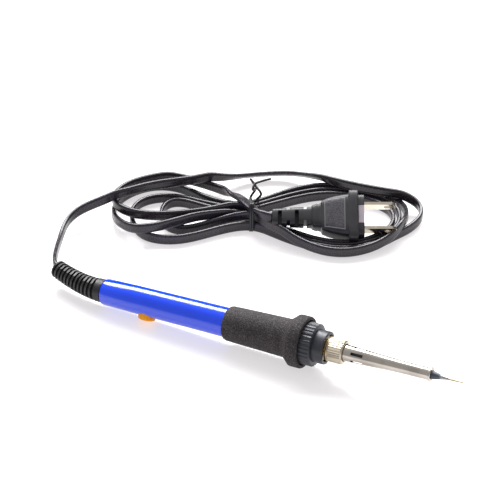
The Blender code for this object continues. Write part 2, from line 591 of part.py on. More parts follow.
# lead: from the rear of the boot over the left lobe, round the back and over the
# right lobe to the hank's right end
boot_rear = boot_centre(BOOT_REAR_AT)
boot_dir = (boot_rear - boot_centre(BOOT_REAR_AT + 2.0)).normalized()
exit_a = to_layout(boot_rear + boot_dir * 0.35)
exit_b = to_layout(boot_rear + boot_dir * 7.0)
lead_points = [exit_a, exit_b,
               Vector((-142.0, 94.0, 6.2)), Vector((-141.5, 106.0, 4.6)), Vector((-139.7, 119.0, 3.2)),
               Vector((-137.4, 130.5, 2.8)), Vector((-132.9, 138.1, 3.3)), Vector((-127.2, 142.2, 5.5)),
               Vector((-120.3, 141.3, 9.5)), Vector((-113.3, 140.1, 12.4)), Vector((-106.4, 143.9, 13.2)),
               Vector((-97.2, 150.3, 13.0)), Vector((-85.2, 158.2, 12.0)), Vector((-72.8, 164.1, 11.0)),
               Vector((-60.3, 169.7, 9.8)), Vector((-54.0, 174.9, 9.2)), Vector((-46.0, 181.0, 6.2)),
               Vector((-37.0, 184.8, 3.6)), Vector((-24.6, 186.5, 2.8)), Vector((-7.0, 185.6, 3.4)),
               Vector((2.8, 180.2, 6.4)), Vector((10.5, 173.4, 8.8)), Vector((24.2, 164.9, 9.0)),
               Vector((38.4, 159.2, 9.0)), Vector((50.0, 155.2, 8.9)), Vector((57.5, 154.0, 8.4)),
               Vector((65.0, 152.4, 5.8)), Vector((70.5, 147.5, 3.2)), Vector((72.0, 140.5, 2.6)),
               hank_point(HANK_HALF_LENGTH + 8.5, 2.2, 2.6), hank_point(HANK_HALF_LENGTH + 5.0, 0.4, 2.6),
               hank_point(HANK_HALF_LENGTH + 0.8, 0.0, 2.6)]
lead_path = even_path(smooth_path(lead_points, 8), 5.4)
wire("cord_lead", lead_path, CORD_D / 2, M_CORD, lay, res=2)


# hank: the outer shape of the tied bundle, two lobes and a waist
def hank_half(x):
    """Half-width of the hank at distance x along it."""
    ax = abs(x)
    lobe_c, lobe_a = 43.0, HANK_HALF_LENGTH - 43.0
    u = min(1.0, abs(ax - lobe_c) / lobe_a)
    full = HANK_LOBE_RIGHT if x > 0 else HANK_LOBE_LEFT
    lobe = full * math.sqrt(max(0.0, 1 - u ** 2.4))
    if ax < lobe_c:
        return HANK_WAIST_HALF + (full - HANK_WAIST_HALF) * (0.5 - 0.5 * math.cos(math.pi * ax / lobe_c))
    return lobe


outline, back_side = [], []
steps = 54
for i in range(steps + 1):
    t = math.pi * i / steps
    x = -HANK_HALF_LENGTH * math.cos(t)
    y = hank_half(x)
    outline.append((x, -y))
    if 0 < i < steps:
        back_side.append((x, y))
outline += list(reversed(back_side))

# opening in the right lobe that the plug lies in
OPEN_AT, OPEN_HALF = (PLUG_AT[0] - 16.0, PLUG_AT[1] - 1.5), (24.0, 17.2)
opening = []
for i in range(36):
    a = 2 * math.pi * i / 36
    ca, sa = math.cos(a), math.sin(a)
    dx = OPEN_AT[0] + OPEN_HALF[0] * math.copysign(abs(ca) ** 0.5, ca) - HANK_AT[0]
    dy = OPEN_AT[1] + OPEN_HALF[1] * math.copysign(abs(sa) ** 0.5, sa) - HANK_AT[1]
    c, n = math.cos(-HANK_TURN), math.sin(-HANK_TURN)
    opening.append((dx * c - dy * n, dx * n + dy * c))
opening.reverse()

hank = slab("cord_hank", [outline, opening], HANK_H, M_CORD, lay, (HANK_AT[0], HANK_AT[1], HANK_H / 2), (0, 0, HANK_TURN))
groove_at = hank_point(TIE_X, 0.0, 0.0)
cut(hank, [box("cut_tie_groove", (4.6, 70.0, 3.2), M_CORD, lay, groove_at, (0, 0, HANK_TURN))])

# tie: one soft wire under and round the waist, its two ends standing up behind
tw, th = HANK_WAIST_HALF + 1.6, HANK_H + 1.0
tie_points = smooth_path([
    (-1.2, tw + 4.2, 14.5), (3.6, tw + 2.4, 10.4), (7.6, tw + 1.2, 6.2), (5.0, tw + 0.9, 4.8), (1.9, tw + 0.5, 6.0),
    (0.9, tw - 1.4, th), (0.9, 0.0, th), (0.8, -tw + 1.4, th), (0.6, -tw, th - 1.8),
    (0.3, -tw, 2.3), (0.0, -tw + 1.5, 0.74), (-0.6, 0.0, 0.74), (-1.0, tw - 1.4, 0.74), (-0.9, tw + 0.2, 1.6),
    (2.0, tw + 2.3, 1.8), (5.8, tw + 3.3, 3.6), (4.0, tw + 3.9, 8.6), (6.8, tw + 4.3, 12.0), (11.6, tw + 4.8, 14.6)], 4)
wire("twist_tie", tie_points, 0.6, M_TIE, lay, res=2, loc=groove_at, rot=(0, 0, HANK_TURN))

# plug frame: +X out through the face, +Y up the broad side, +Z off the broad side
plug = empty("plug_frame", PLUG_AT, (PLUG_LEAN, 0, 0), lay)


def plug_section(x, w, t, e, n=36):
    """Rounded-rectangle section of width w and thickness t at station x."""
    ring = []
    for i in range(n):
        a = 2 * math.pi * (i + 0.5) / n
        ca, sa = math.cos(a), math.sin(a)
        ring.append((x * UNIT, 0.5 * w * UNIT * math.copysign(abs(ca) ** e, ca), 0.5 * t * UNIT * math.copysign(abs(sa) ** e, sa)))
    return ring


RL = PLUG_RELIEF_L
BL = PLUG_BODY_L
sections = [
    plug_section(-BL - RL, 9.0, 8.0, 0.7), plug_section(-BL - RL + 0.5, 9.6, 8.7, 0.6),
    plug_section(-BL - 0.6, 11.8, 10.2, 0.55), plug_section(-BL, 11.6, 10.0, 0.55), plug_section(-BL + 1.5, 11.8, 10.2, 0.5),
    plug_section(-BL + 2.1, 13.2, 11.2, 0.45), plug_section(-BL + 4.6, 14.6, 11.8, 0.42), plug_section(-BL + 5.2, 14.2, 11.4, 0.42),
    plug_section(-BL + 6.8, 15.2, 11.8, 0.4), plug_section(-BL + 7.6, 18.2, 13.0, 0.36), plug_section(-BL + 10.5, 20.6, 13.8, 0.34),
    plug_section(-BL + 14.5, 23.0, 14.3, 0.34), plug_section(-BL + 19.0, 24.8, 14.6, 0.34),
    plug_section(-PLUG_BOSS - 5.7, 25.8, 14.7, 0.34), plug_section(-PLUG_BOSS - 5.3, PLUG_W - 0.6, 15.1, 0.34),
    plug_section(-PLUG_BOSS - 4.9, PLUG_W, PLUG_T, 0.34), plug_section(-PLUG_BOSS - 0.6, PLUG_W, PLUG_T, 0.34),
    plug_section(-PLUG_BOSS, PLUG_W - 1.0, PLUG_T - 1.0, 0.34), plug_section(-PLUG_BOSS - 0.02, 25.6, 12.4, 0.34), plug_section(-0.3, 25.6, 12.4, 0.34),
    plug_section(0.0, 25.0, 11.8, 0.34)]
plug_body = ring_solid("plug_body", sections, M_PLUG, plug, rot=(0, 0, 0), closed=False, angle=25)
tools = []
for i in range(4):
    # relief slots: deep ones in both broad sides, open to one edge, and between
    # them notches through both edges
    x = -BL - RL + 4.4 + i * 4.9
    for sgn in (-1, 1):
        tag = "cut_relief_%d%s" % (i, "a" if sgn > 0 else "b")
        if i % 2 == 0:
            tools.append(box(tag, (2.3, 10.2 + 0.1 * i, 6.4), M_PLUG, plug, (x, -2.2 * sgn, sgn * 3.9)))
        else:
            tools.append(box(tag, (1.9, 5.0, 13.0 + 0.2 * i), M_PLUG, plug, (x, sgn * (5.7 + 0.1 * i), 0)))
# seat for the pale moulded insert that carries the blades; between the blades it
# reaches both broad sides of the boss
INSERT_W, INSERT_T = BLADE_GAP + BLADE_T + 2.6, BLADE_W + 2.0
tools.append(box("cut_insert_seat", (5.9, INSERT_W, INSERT_T), M_PLUG, plug, (-0.5, 0, 0)))
tools.append(box("cut_insert_cross", (5.7, 11.4, 16.0), M_PLUG, plug, (-0.55, 0, 0)))
cut(plug_body, tools)

insert = box("plug_insert", (3.2, INSERT_W - 0.6, 12.2), M_INSERT, plug, (-1.7, 0, 0))
cut(insert, [box("cut_insert_corner_%d" % k, (6.0, 6.0, 6.0), M_INSERT, plug,
                 (-1.7, sy * (5.4 + 3.0), sz * (INSERT_T / 2 - 0.3 + 3.0)))
             for k, (sy, sz) in enumerate(((1, 1), (1, -1), (-1, 1), (-1, -1)))])
for tag, side in (("lower", -1), ("upper", 1)):
    y = side * BLADE_GAP / 2
    cut(insert, [box("cut_insert_" + tag, (7.0, BLADE_T + 0.6, BLADE_W + 0.6), M_INSERT, plug, (-1.0, y, 0))])
    h = BLADE_W / 2
    front = BLADE_L
    shape = [(-3.1, -h), (front - 2.6, -h), (front - 0.6, -h + 1.3), (front, -h + 2.3), (front, h - 2.3), (front - 0.6, h - 1.3), (front - 2.6, h), (-3.1, h)]
    hole = [(front - 5.2 + 1.8 * math.cos(-2 * math.pi * k / 20), 1.8 * math.sin(-2 * math.pi * k / 20)) for k in range(20)]
    slab("plug_blade_" + tag, [shape, hole], BLADE_T, M_BLADE, plug, (0, y, 0), (math.pi / 2, 0, 0))

# tail: from the plug's relief down onto the waist of the hank
relief_end = Vector((PLUG_AT[0] - BL - RL - 0.6, PLUG_AT[1], PLUG_AT[2]))
tail_z = HANK_H + 0.3 + CORD_D / 2
tail_points = smooth_path([relief_end, relief_end + Vector((-2.0, 0.1, -0.3)), relief_end + Vector((-4.0, 1.0, -2.0)),
                           relief_end + Vector((-6.2, 4.2, tail_z - PLUG_AT[2] + 0.6)), relief_end + Vector((-7.6, 8.0, tail_z - PLUG_AT[2]))], 3)
wire("cord_tail", tail_points, CORD_D / 2, M_CORD, lay, res=2)

bpy.context.view_layer.update()
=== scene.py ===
# Adjustable-temperature pencil soldering iron with its flat mains cord hanked
# and tied behind it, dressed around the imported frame. Metres, +Z up.
import math
import bpy
import bmesh
import numpy as np
from mathutils import Matrix, Vector, noise


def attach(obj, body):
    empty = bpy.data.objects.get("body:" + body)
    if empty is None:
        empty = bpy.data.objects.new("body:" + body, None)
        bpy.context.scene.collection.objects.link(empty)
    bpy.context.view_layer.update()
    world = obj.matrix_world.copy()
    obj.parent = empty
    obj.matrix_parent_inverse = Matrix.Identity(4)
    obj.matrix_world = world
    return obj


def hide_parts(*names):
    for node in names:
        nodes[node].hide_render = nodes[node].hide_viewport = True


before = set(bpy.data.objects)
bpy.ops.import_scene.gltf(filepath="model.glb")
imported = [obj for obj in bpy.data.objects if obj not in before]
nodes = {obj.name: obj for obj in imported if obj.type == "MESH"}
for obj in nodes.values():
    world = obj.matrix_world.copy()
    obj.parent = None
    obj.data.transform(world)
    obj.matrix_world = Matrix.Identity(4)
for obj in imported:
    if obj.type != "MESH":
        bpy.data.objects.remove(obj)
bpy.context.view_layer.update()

UNIT = 0.00085                      # one drawing unit of the part, in metres
TURN = math.radians(26.5)           # ground layout of the cord, turned about Z
AT = (33.96, 1.67)
TILT = math.radians(2.4)
LENGTH = 247.0
AXIS_Z = 14.3 * math.cos(TILT) - 150.2 * math.sin(TILT) + 0.02
IRON_X = -(LENGTH - 2.2) * math.cos(TILT) / 2 + 0.8
scene = bpy.context.scene

IRON = Matrix.Translation(Vector((IRON_X, 0, AXIS_Z)) * UNIT) @ Matrix.Rotation(-TILT, 4, "Y")
LAY = Matrix.Translation(Vector((AT[0], AT[1], 0)) * UNIT) @ Matrix.Rotation(TURN, 4, "Z")


def lay(x, y, z=0.0):
    """Ground-layout point (units) in metres of the frame."""
    return LAY @ (Vector((x, y, z)) * UNIT)


def iron(s, y=0.0, z=0.0):
    """Point s units along the iron's axis, in metres of the frame."""
    return IRON @ (Vector((s, y, z)) * UNIT)


def col(obj, parent=None):
    scene.collection.objects.link(obj)
    return obj


# ------------------------------------------------------------------- camera
TARGET = (-30.62, 108.45)
DIST, ELEV = 1300.0, math.radians(34.0)
cam_data = bpy.data.cameras.new("camera")
cam_data.lens = 162.03
cam_data.sensor_width = 36.0
cam_data.clip_start, cam_data.clip_end = 0.05, 20.0
cam = col(bpy.data.objects.new("camera", cam_data))
cam.location = lay(TARGET[0], TARGET[1] - DIST * math.cos(ELEV), DIST * math.sin(ELEV))
cam.rotation_euler = (math.pi / 2 - ELEV, 0, TURN)
scene.camera = cam

# --------------------------------------------------------------- flat cord
CORD_W, CORD_T = 6.2, 2.7           # units: 5.3 mm by 2.3 mm, two cores side by side
ROUTE = [
    # out of the boot
    (-138.7, 75.25, 9.6), (-140.4, 78.9, 9.6), (-141.3, 86.0, 8.8),
    # lead: round the back, over the left lobe, over the right lobe, round its end
    (-141.2, 94.5, 6.9), (-140.6, 105, 5.1), (-139.2, 117.5, 3.8), (-137.2, 127.2, 4.8), (-132.9, 133.6, 6.6),
    (-127.0, 137.2, 8.9), (-120.3, 139.0, 11.2), (-113.3, 140.6, 13.2), (-106.0, 143.9, 14.0), (-97.2, 150.3, 14),
    (-85.2, 157.8, 12.2), (-72.8, 163.4, 10.4), (-60.3, 168.6, 8.0), (-48.6, 174.0, 5.2), (-36.5, 179.6, 3.5),
    (-22.6, 183.6, 2.9), (-4.3, 183.0, 3.4), (10, 173.8, 7), (24.2, 164.9, 8.8), (38.4, 159.2, 8.8),
    (52.6, 154.2, 8.6), (63.3, 151.2, 6), (68.9, 147.8, 3.4), (70.2, 140.7, 2.9), (68.1, 132.9, 2.9),
    # back along the near side of the right lobe
    (63.4, 127.6, 2.9), (57.8, 121.8, 2.9), (51.1, 115.5, 2.9), (43.3, 109.8, 2.9), (33.9, 105.2, 2.9),
    (24, 103.6, 2.9), (13.1, 105.2, 2.9), (1.7, 109.8, 2.9), (-8.6, 116, 2.9), (-17.8, 122.9, 2.9), (-25.0, 127.6, 2.9),
    # first turn of the left lobe, the lowest and nearest
    (-31.5, 129.4, 2.9), (-44.3, 126.2, 2.9), (-59.5, 119.2, 2.9), (-71.6, 114.8, 2.9), (-81, 114.8, 2.9), (-89.2, 117, 2.9),
    (-95.2, 122.4, 2.9), (-98.5, 130.3, 2.9), (-100, 138.9, 2.9), (-99.2, 147.3, 2.9), (-95, 154.1, 2.9),
    (-88.3, 157.8, 2.9), (-80.1, 159.5, 2.9), (-71.1, 157.6, 2.9), (-61.5, 153.5, 2.9), (-51.3, 149.4, 2.9),
    (-40.7, 147, 2.9), (-30.3, 147.5, 2.9),
    # right lobe
    (-23.5, 151.3, 2.9), (-14.6, 156, 2.9), (-4.7, 160.9, 2.9), (5.2, 164.5, 2.9), (16, 166.2, 2.9), (27.4, 164.9, 2.9),
    (38, 161.4, 2.9), (47.9, 156.5, 2.9), (53.6, 151.3, 2.9), (56.8, 143.2, 2.9), (56.7, 133.5, 2.9), (53.3, 123.9, 2.9),
    (47.1, 117, 2.9), (39.3, 111.4, 2.9), (30.5, 107.9, 2.9), (21.3, 107, 2.9), (10.9, 108.7, 2.9), (0.6, 113.3, 2.9),
    (-9.1, 119.1, 2.9), (-17.2, 125, 2.9), (-24.2, 130.8, 2.9),
    # second turn of the left lobe, lifted over the first
    (-31.1, 136.5, 3.4), (-41.3, 137.4, 6), (-53.5, 132.9, 8), (-65.7, 127.3, 8.6), (-77.8, 121.6, 8.6), (-86.2, 118.1, 8.6),
    (-96, 117, 8.6), (-103.3, 124, 6.5), (-108.8, 132.9, 4), (-110.9, 141.5, 2.9), (-110.1, 150.2, 2.9),
    (-106.3, 159, 2.9), (-100, 166.2, 2.9), (-92.4, 170.9, 2.9), (-84.7, 172.9, 2.9), (-77.4, 171.8, 2.9),
    (-69.8, 168.2, 2.9), (-59.8, 160.1, 2.9), (-50.2, 154.1, 2.9), (-40.1, 150.8, 2.9), (-30.3, 151.3, 2.9),
    # right lobe, outermost turn
    (-22.3, 155.7, 2.9), (-11.9, 162, 2.9), (-2.5, 167.1, 2.9), (7.8, 170.4, 2.9), (18.6, 170.9, 2.9), (29.3, 168.9, 2.9),
    (39.9, 165.3, 2.9), (49.9, 160.7, 2.9), (56.7, 155.1, 2.9), (60.4, 145.3, 3.4), (60.9, 134.6, 5.6), (58.2, 123, 5.6),
    (52.2, 114.6, 3.5), (44.1, 108.3, 2.9), (36.2, 103.5, 2.9), (25.6, 100.3, 2.9), (15.2, 100.8, 2.9), (4.9, 104.5, 2.9),
    (-5.5, 110.8, 3.4), (-14.5, 117.3, 5.6), (-23.0, 125.1, 6.6),
    # third turn of the left lobe, small
    (-31.1, 132.4, 4.6), (-41.3, 133.9, 2.9), (-53.5, 129.9, 2.9), (-65.8, 125.3, 2.9), (-73.2, 124.4, 2.9), (-78.5, 127.6, 2.9),
    (-82, 135.6, 2.9), (-82.3, 144.8, 2.9), (-80.4, 151.3, 2.9), (-76.1, 155.1, 2.9), (-69.8, 154.1, 2.9),
    (-61.4, 149.9, 2.9), (-51.3, 145.5, 2.9), (-40.6, 143.2, 2.9), (-30.3, 143.9, 2.9),
    # right lobe, innermost turn
    (-23.5, 147.7, 2.9), (-14.6, 151.6, 2.9), (-4.8, 156.2, 2.9), (5.1, 160, 2.9), (15.9, 161.8, 2.9), (27.2, 160.4, 2.9),
    (36.6, 156.8, 2.9), (45.3, 151.6, 2.9), (50.9, 146.4, 2.9), (53.3, 139.4, 2.9), (52.6, 130.3, 2.9), (48.3, 121.4, 2.9),
    (42.4, 115.5, 2.9), (35.3, 111.4, 2.9), (27.1, 109.5, 2.9), (17.9, 109.7, 2.9), (8.1, 112.4, 2.9), (-1.6, 117.1, 2.9),
    (-10.8, 122.7, 2.9), (-18.4, 127.6, 2.9), (-24.8, 133.2, 2.9),
    # last turn of the left lobe, on top
    (-31.1, 139.9, 3.4), (-41.3, 140.9, 6), (-52.9, 135.9, 8), (-64.5, 132.8, 8.6), (-74.4, 130.7, 8.8), (-86.6, 130, 8.8),
    (-96.6, 131.4, 8.8), (-106, 137.1, 8.8), (-110.3, 142.2, 8.8), (-111.0, 147.8, 8.8), (-109.6, 153.1, 8.8), (-106.4, 158.8, 8.8),
    (-101.1, 164.5, 8.6), (-91.9, 169.8, 8), (-85.8, 172.2, 7), (-79.4, 174.2, 5.5), (-70, 174.8, 4), (-57.9, 171.9, 3.2),
    (-49.1, 165.4, 3.6), (-42.1, 156.6, 6.2),
    # over the bundle and into the plug
    (-37.1, 147.8, 9.2), (-33.5, 139.6, 11.6), (-30.0, 132.6, 13.2), (-26.5, 127.1, 14.0), (-22.9, 123.6, 14.1), (-19.8, 122.1, 13.85), (-17.2, 121.7, 13.7),
]
# upright runs stand on their lower edge, so every height follows the cord's width
ROUTE = ROUTE[:3] + [(x, y, z * CORD_W / 5.6) for x, y, z in ROUTE[3:-4]] + ROUTE[-4:]


def catmull(P, n):
    """Centripetal Catmull-Rom through the points, n steps a span."""
    P = np.asarray(P, float)
    Q = np.vstack([2 * P[0] - P[1], P, 2 * P[-1] - P[-2]])
    out = []
    for i in range(1, len(Q) - 2):
        p0, p1, p2, p3 = Q[i - 1:i + 3]
        t0 = 0.0
        t1 = t0 + np.linalg.norm(p1 - p0) ** 0.5
        t2 = t1 + np.linalg.norm(p2 - p1) ** 0.5
        t3 = t2 + np.linalg.norm(p3 - p2) ** 0.5
        for k in range(n):
            t = t1 + (t2 - t1) * k / n
            a1 = (t1 - t) / (t1 - t0) * p0 + (t - t0) / (t1 - t0) * p1
            a2 = (t2 - t) / (t2 - t1) * p1 + (t - t1) / (t2 - t1) * p2
            a3 = (t3 - t) / (t3 - t2) * p2 + (t - t2) / (t3 - t2) * p3
            b1 = (t2 - t) / (t2 - t0) * a1 + (t - t0) / (t2 - t0) * a2
            b2 = (t3 - t) / (t3 - t1) * a2 + (t - t1) / (t3 - t1) * a3
            out.append((t2 - t) / (t2 - t1) * b1 + (t - t1) / (t2 - t1) * b2)
    out.append(P[-1])
    return np.array(out)


def evenly(P, step):
    d = np.r_[0, np.cumsum(np.linalg.norm(np.diff(P, axis=0), axis=1))]
    s = np.linspace(0, d[-1], int(round(d[-1] / step)) + 1)
    return np.stack([np.interp(s, d, P[:, k]) for k in range(P.shape[1])], 1)


def settle(T, steps, apart=2.95):
    """Push neighbouring runs of the cord apart sideways and crossing runs apart
    in height, keeping them smooth and down on the table."""
    P = T.copy()
    n = len(P)
    at = np.arange(n)
    far = np.abs(at[:, None] - at[None, :]) > 6
    order = T[:, None, 2] - T[None, :, 2]
    # half the height each point stands; the last run lies flat across the bundle
    half = np.full(n, CORD_W / 2 + 0.08)
    half[n - 13:n - 4] = CORD_T / 2 - 0.35
    tall = half[:, None] + half[None, :]
    for _ in range(steps):
        d = P[:, None, :2] - P[None, :, :2]
        r = np.sqrt((d ** 2).sum(2)) + 1e-9
        dz = P[:, None, 2] - P[None, :, 2]
        hit = far & (r < apart) & (np.abs(dz) < tall)
        vert = hit & (np.abs(order) > 1.6)
        side = hit & ~vert
        w = np.where(side, (apart - r) / r, 0.0)
        P[:, :2] += 0.5 * (w[:, :, None] * d).sum(1) / np.maximum(side.sum(1), 1)[:, None]
        need = np.where(vert, tall - np.abs(dz), 0.0)
        P[:, 2] += 0.6 * (need * (order > 0)).max(1) - 0.15 * (need * (order < 0)).max(1)
        for _ in range(2):
            L = np.zeros_like(P)
            L[1:-1] = (P[2:] + P[:-2]) / 2 - P[1:-1]
            B = np.zeros_like(P)
            B[2:-2] = (L[3:-1] + L[1:-3]) / 2 - L[2:-2]
            P[:, :2] -= 0.45 * B[:, :2]
            P[:, 2] += 0.45 * L[:, 2]
        P[:, :2] += 0.03 * (T[:, :2] - P[:, :2])
        P[:, 2] += 0.02 * (T[:, 2] - P[:, 2])
        P[:, 2] = np.maximum(P[:, 2], half)
        P[:5], P[-4:] = T[:5], T[-4:]
    return P


coarse = settle(evenly(catmull(ROUTE, 12), 2.9), 220)
cord_line = evenly(catmull(coarse, 3), 1.45)


def ramp(x, a, b):
    u = min(1.0, max(0.0, (x - a) / (b - a)))
    return u * u * (3 - 2 * u)


def strap(name, line, roll, w, t, mat):
    """Flat two-core cord: a grooved oval section swept along line; roll leans
    the broad side from upright towards the near side."""
    # flat sides with rounded edges and a shallow groove where the cores join
    sec = []
    for k in range(28):
        a = 2 * math.pi * (k + 0.5) / 28
        ca, sa = math.cos(a), math.sin(a)
        u = 0.5 * w * math.copysign(abs(ca) ** 0.80, ca)
        v = 0.5 * t * math.copysign(abs(sa) ** 0.62, sa)
        sec.append((u, v * (1 - 0.17 * math.exp(-(u / (0.11 * w)) ** 2))))
    m = len(sec)
    bm = bmesh.new()
    rows = []
    n = len(line)
    for i in range(n):
        p = Vector(line[i])
        tan = (Vector(line[min(n - 1, i + 2)]) - Vector(line[max(0, i - 2)])).normalized()
        flat = Vector((tan.x, tan.y, 0)).normalized()
        side = Vector((flat.y, -flat.x, 0))                   # level, across the cord
        up = side.cross(tan).normalized()
        if up.z < 0:
            up = -up
        near = side if side.y < 0 else -side
        f = roll(i, p)
        b = (up * math.cos(f) + near * math.sin(f)).normalized()
        c = b.cross(tan).normalized()
        rows.append([bm.verts.new(lay(*(p + b * u + c * v))) for u, v in sec])
    for j in range(n - 1):
        for i in range(m):
            k = (i + 1) % m
            bm.faces.new((rows[j][i], rows[j][k], rows[j + 1][k], rows[j + 1][i]))
    bm.faces.new(rows[0])
    bm.faces.new(rows[-1])
    bmesh.ops.recalc_face_normals(bm, faces=bm.faces)
    me = bpy.data.meshes.new(name)
    bm.to_mesh(me)
    bm.free()
    me.shade_smooth()
    me.materials.append(mat)
    return col(bpy.data.objects.new(name, me))


# --------------------------------------------------------------- materials
class Nodes:
    """Small helper for building one surface at a time."""

    def __init__(self, name):
        self.mat = bpy.data.materials.new(name)
        self.mat.use_nodes = True
        self.t = self.mat.node_tree
        self.b = self.t.nodes["Principled BSDF"]
        self.coord = self.t.nodes.new("ShaderNodeTexCoord")

    def new(self, kind, **kw):
        n = self.t.nodes.new(kind)
        for k, v in kw.items():
            if k.startswith("i_"):
                n.inputs[k[2:].replace("_", " ")].default_value = v
            else:
                setattr(n, k, v)
        return n

    def link(self, a, b):
        self.t.links.new(a, b)

    def noise(self, scale, detail=4.0, rough=0.6, vec=None, distortion=0.0):
        n = self.new("ShaderNodeTexNoise")
        n.inputs["Scale"].default_value = scale
        n.inputs["Detail"].default_value = detail
        n.inputs["Roughness"].default_value = rough
        n.inputs["Distortion"].default_value = distortion
        self.link(vec or self.coord.outputs["Object"], n.inputs["Vector"])
        return n.outputs["Fac"]

    def voronoi(self, scale, vec=None, feature="F1"):
        n = self.new("ShaderNodeTexVoronoi", feature=feature)
        n.inputs["Scale"].default_value = scale
        self.link(vec or self.coord.outputs["Object"], n.inputs["Vector"])
        return n.outputs["Distance"]

    def mapping(self, scale=(1, 1, 1), loc=(0, 0, 0), rot=(0, 0, 0), kind="POINT", vec=None):
        n = self.new("ShaderNodeMapping", vector_type=kind)
        n.inputs["Scale"].default_value = scale
        n.inputs["Location"].default_value = loc
        n.inputs["Rotation"].default_value = rot
        self.link(vec or self.coord.outputs["Object"], n.inputs["Vector"])
        return n.outputs["Vector"]

    def ramp(self, fac, stops, mode="LINEAR"):
        n = self.new("ShaderNodeValToRGB")
        n.color_ramp.interpolation = mode
        e = n.color_ramp.elements
        while len(e) > 1:
            e.remove(e[-1])
        e[0].position = stops[0][0]
        e[0].color = self.rgba(stops[0][1])
        for p, c in stops[1:]:
            k = e.new(p)
            k.color = self.rgba(c)
        self.link(fac, n.inputs["Fac"])
        return n.outputs["Color"]

    @staticmethod
    def rgba(c):
        if isinstance(c, (int, float)):
            c = (c, c, c)
        return (c[0], c[1], c[2], 1.0)

    def rng(self, fac, a, b, c=0.0, d=1.0):
        n = self.new("ShaderNodeMapRange")
        for k, v in (("From Min", a), ("From Max", b), ("To Min", c), ("To Max", d)):
            n.inputs[k].default_value = v
        self.link(fac, n.inputs["Value"])
        return n.outputs["Result"]

    def math(self, op, a, b=None, clamp=False):
        n = self.new("ShaderNodeMath", operation=op, use_clamp=clamp)
        for i, v in enumerate((a, b)):
            if v is None:
                continue
            if isinstance(v, (int, float)):
                n.inputs[i].default_value = v
            else:
                self.link(v, n.inputs[i])
        return n.outputs[0]

    def mix(self, fac, a, b):
        n = self.new("ShaderNodeMix", data_type="RGBA")
        for sock, v in ((n.inputs[0], fac), (n.inputs[6], a), (n.inputs[7], b)):
            if isinstance(v, (int, float)) and sock is n.inputs[0]:
                sock.default_value = v
            elif isinstance(v, tuple) or isinstance(v, (int, float)):
                sock.default_value = self.rgba(v)
            else:
                self.link(v, sock)
        return n.outputs[2]

    def bump(self, height, strength, dist, normal=None):
        n = self.new("ShaderNodeBump")
        n.inputs["Strength"].default_value = strength
        n.inputs["Distance"].default_value = dist
        self.link(height, n.inputs["Height"])
        if normal is not None:
            self.link(normal, n.inputs["Normal"])
        return n.outputs["Normal"]

    def set(self, **kw):
        names = {"base": "Base Color", "rough": "Roughness", "metal": "Metallic", "normal": "Normal", "coat": "Coat Weight",
                 "coat_rough": "Coat Roughness", "ior": "IOR", "spec": "Specular IOR Level", "sheen": "Sheen Weight",
                 "sheen_rough": "Sheen Roughness", "sheen_tint": "Sheen Tint", "sss": "Subsurface Weight",
                 "aniso": "Anisotropic", "coat_normal": "Coat Normal"}
        for k, v in kw.items():
            s = self.b.inputs[names[k]]
            if isinstance(v, (int, float)):
                s.default_value = v
            elif isinstance(v, tuple):
                s.default_value = self.rgba(v) if len(v) == 3 else v
            else:
                self.link(v, s)
        return self.mat


def moulded(name, dark, light, rough=(0.35, 0.5), grain=900.0, depth=0.00006, spots=60.0, coat=0.0, strength=0.35, fine=4200.0, **kw):
    """Moulded or lacquered surface: slow colour drift, fine grain and handling marks."""
    n = Nodes(name)
    drift = n.noise(spots, 3.0, 0.55)
    speck = n.noise(fine, 2.0, 0.6)
    both = n.math("ADD", n.math("MULTIPLY", drift, 0.65), n.math("MULTIPLY", speck, 0.35))
    base = n.ramp(both, [(0.36, dark), (0.64, light)])
    r = n.rng(n.noise(grain * 0.5, 5.0, 0.65), 0.3, 0.7, rough[0], rough[1])
    h = n.noise(grain, 6.0, 0.62)
    return n.set(base=base, rough=r, normal=n.bump(h, strength, depth), coat=coat, **kw)


def metal(name, dark, light, rough=(0.18, 0.32), streak=(1, 60, 60), scale=120.0, depth=0.00002, strength=0.25, **kw):
    """Drawn or plated metal: streaks along the iron, haze and fine scratches."""
    n = Nodes(name)
    v = n.mapping(scale=streak)
    s = n.noise(scale, 5.0, 0.6, v)
    haze = n.noise(90.0, 4.0, 0.55)
    base = n.ramp(haze, [(0.35, dark), (0.65, light)])
    r = n.rng(n.math("ADD", n.math("MULTIPLY", s, 0.5), n.math("MULTIPLY", haze, 0.5)), 0.35, 0.65, rough[0], rough[1])
    return n.set(base=base, rough=r, metal=1.0, normal=n.bump(s, strength, depth), **kw)


def cord_material():
    n = Nodes("cord_vinyl")
    drift = n.noise(55.0, 4.0, 0.6)
    dust = n.noise(3200.0, 3.0, 0.7)
    both = n.math("ADD", n.math("MULTIPLY", drift, 0.6), n.math("MULTIPLY", dust, 0.4))
    base = n.ramp(both, [(0.38, (0.013, 0.0105, 0.015)), (0.62, (0.030, 0.0245, 0.034))])
    r = n.rng(n.noise(700.0, 4.0, 0.6), 0.3, 0.7, 0.20, 0.32)
    h = n.math("ADD", n.math("MULTIPLY", n.noise(420.0, 3.0, 0.5), 0.7), n.math("MULTIPLY", n.noise(4200.0, 3.0, 0.6), 0.3))
    return n.set(base=base, rough=r, normal=n.bump(h, 0.10, 0.00004), spec=0.5)


M_CORD = cord_material()


def lead_roll(i, p):
    """The lead lies upright, leans over on its edge along the back, and stands
    up again over the right lobe; the last run lies flat where it crosses the bundle."""
    n = len(cord_line)
    if i > n - 60:
        return math.radians(80) * ramp(i, n - 38, n - 27) * (1 - ramp(i, n - 13, n - 4))
    if i > 230:
        return 0.0
    return math.radians(44) * ramp(p.x, -58, -34) * (1 - ramp(p.x, 2, 26)) if p.y > 160 else 0.0


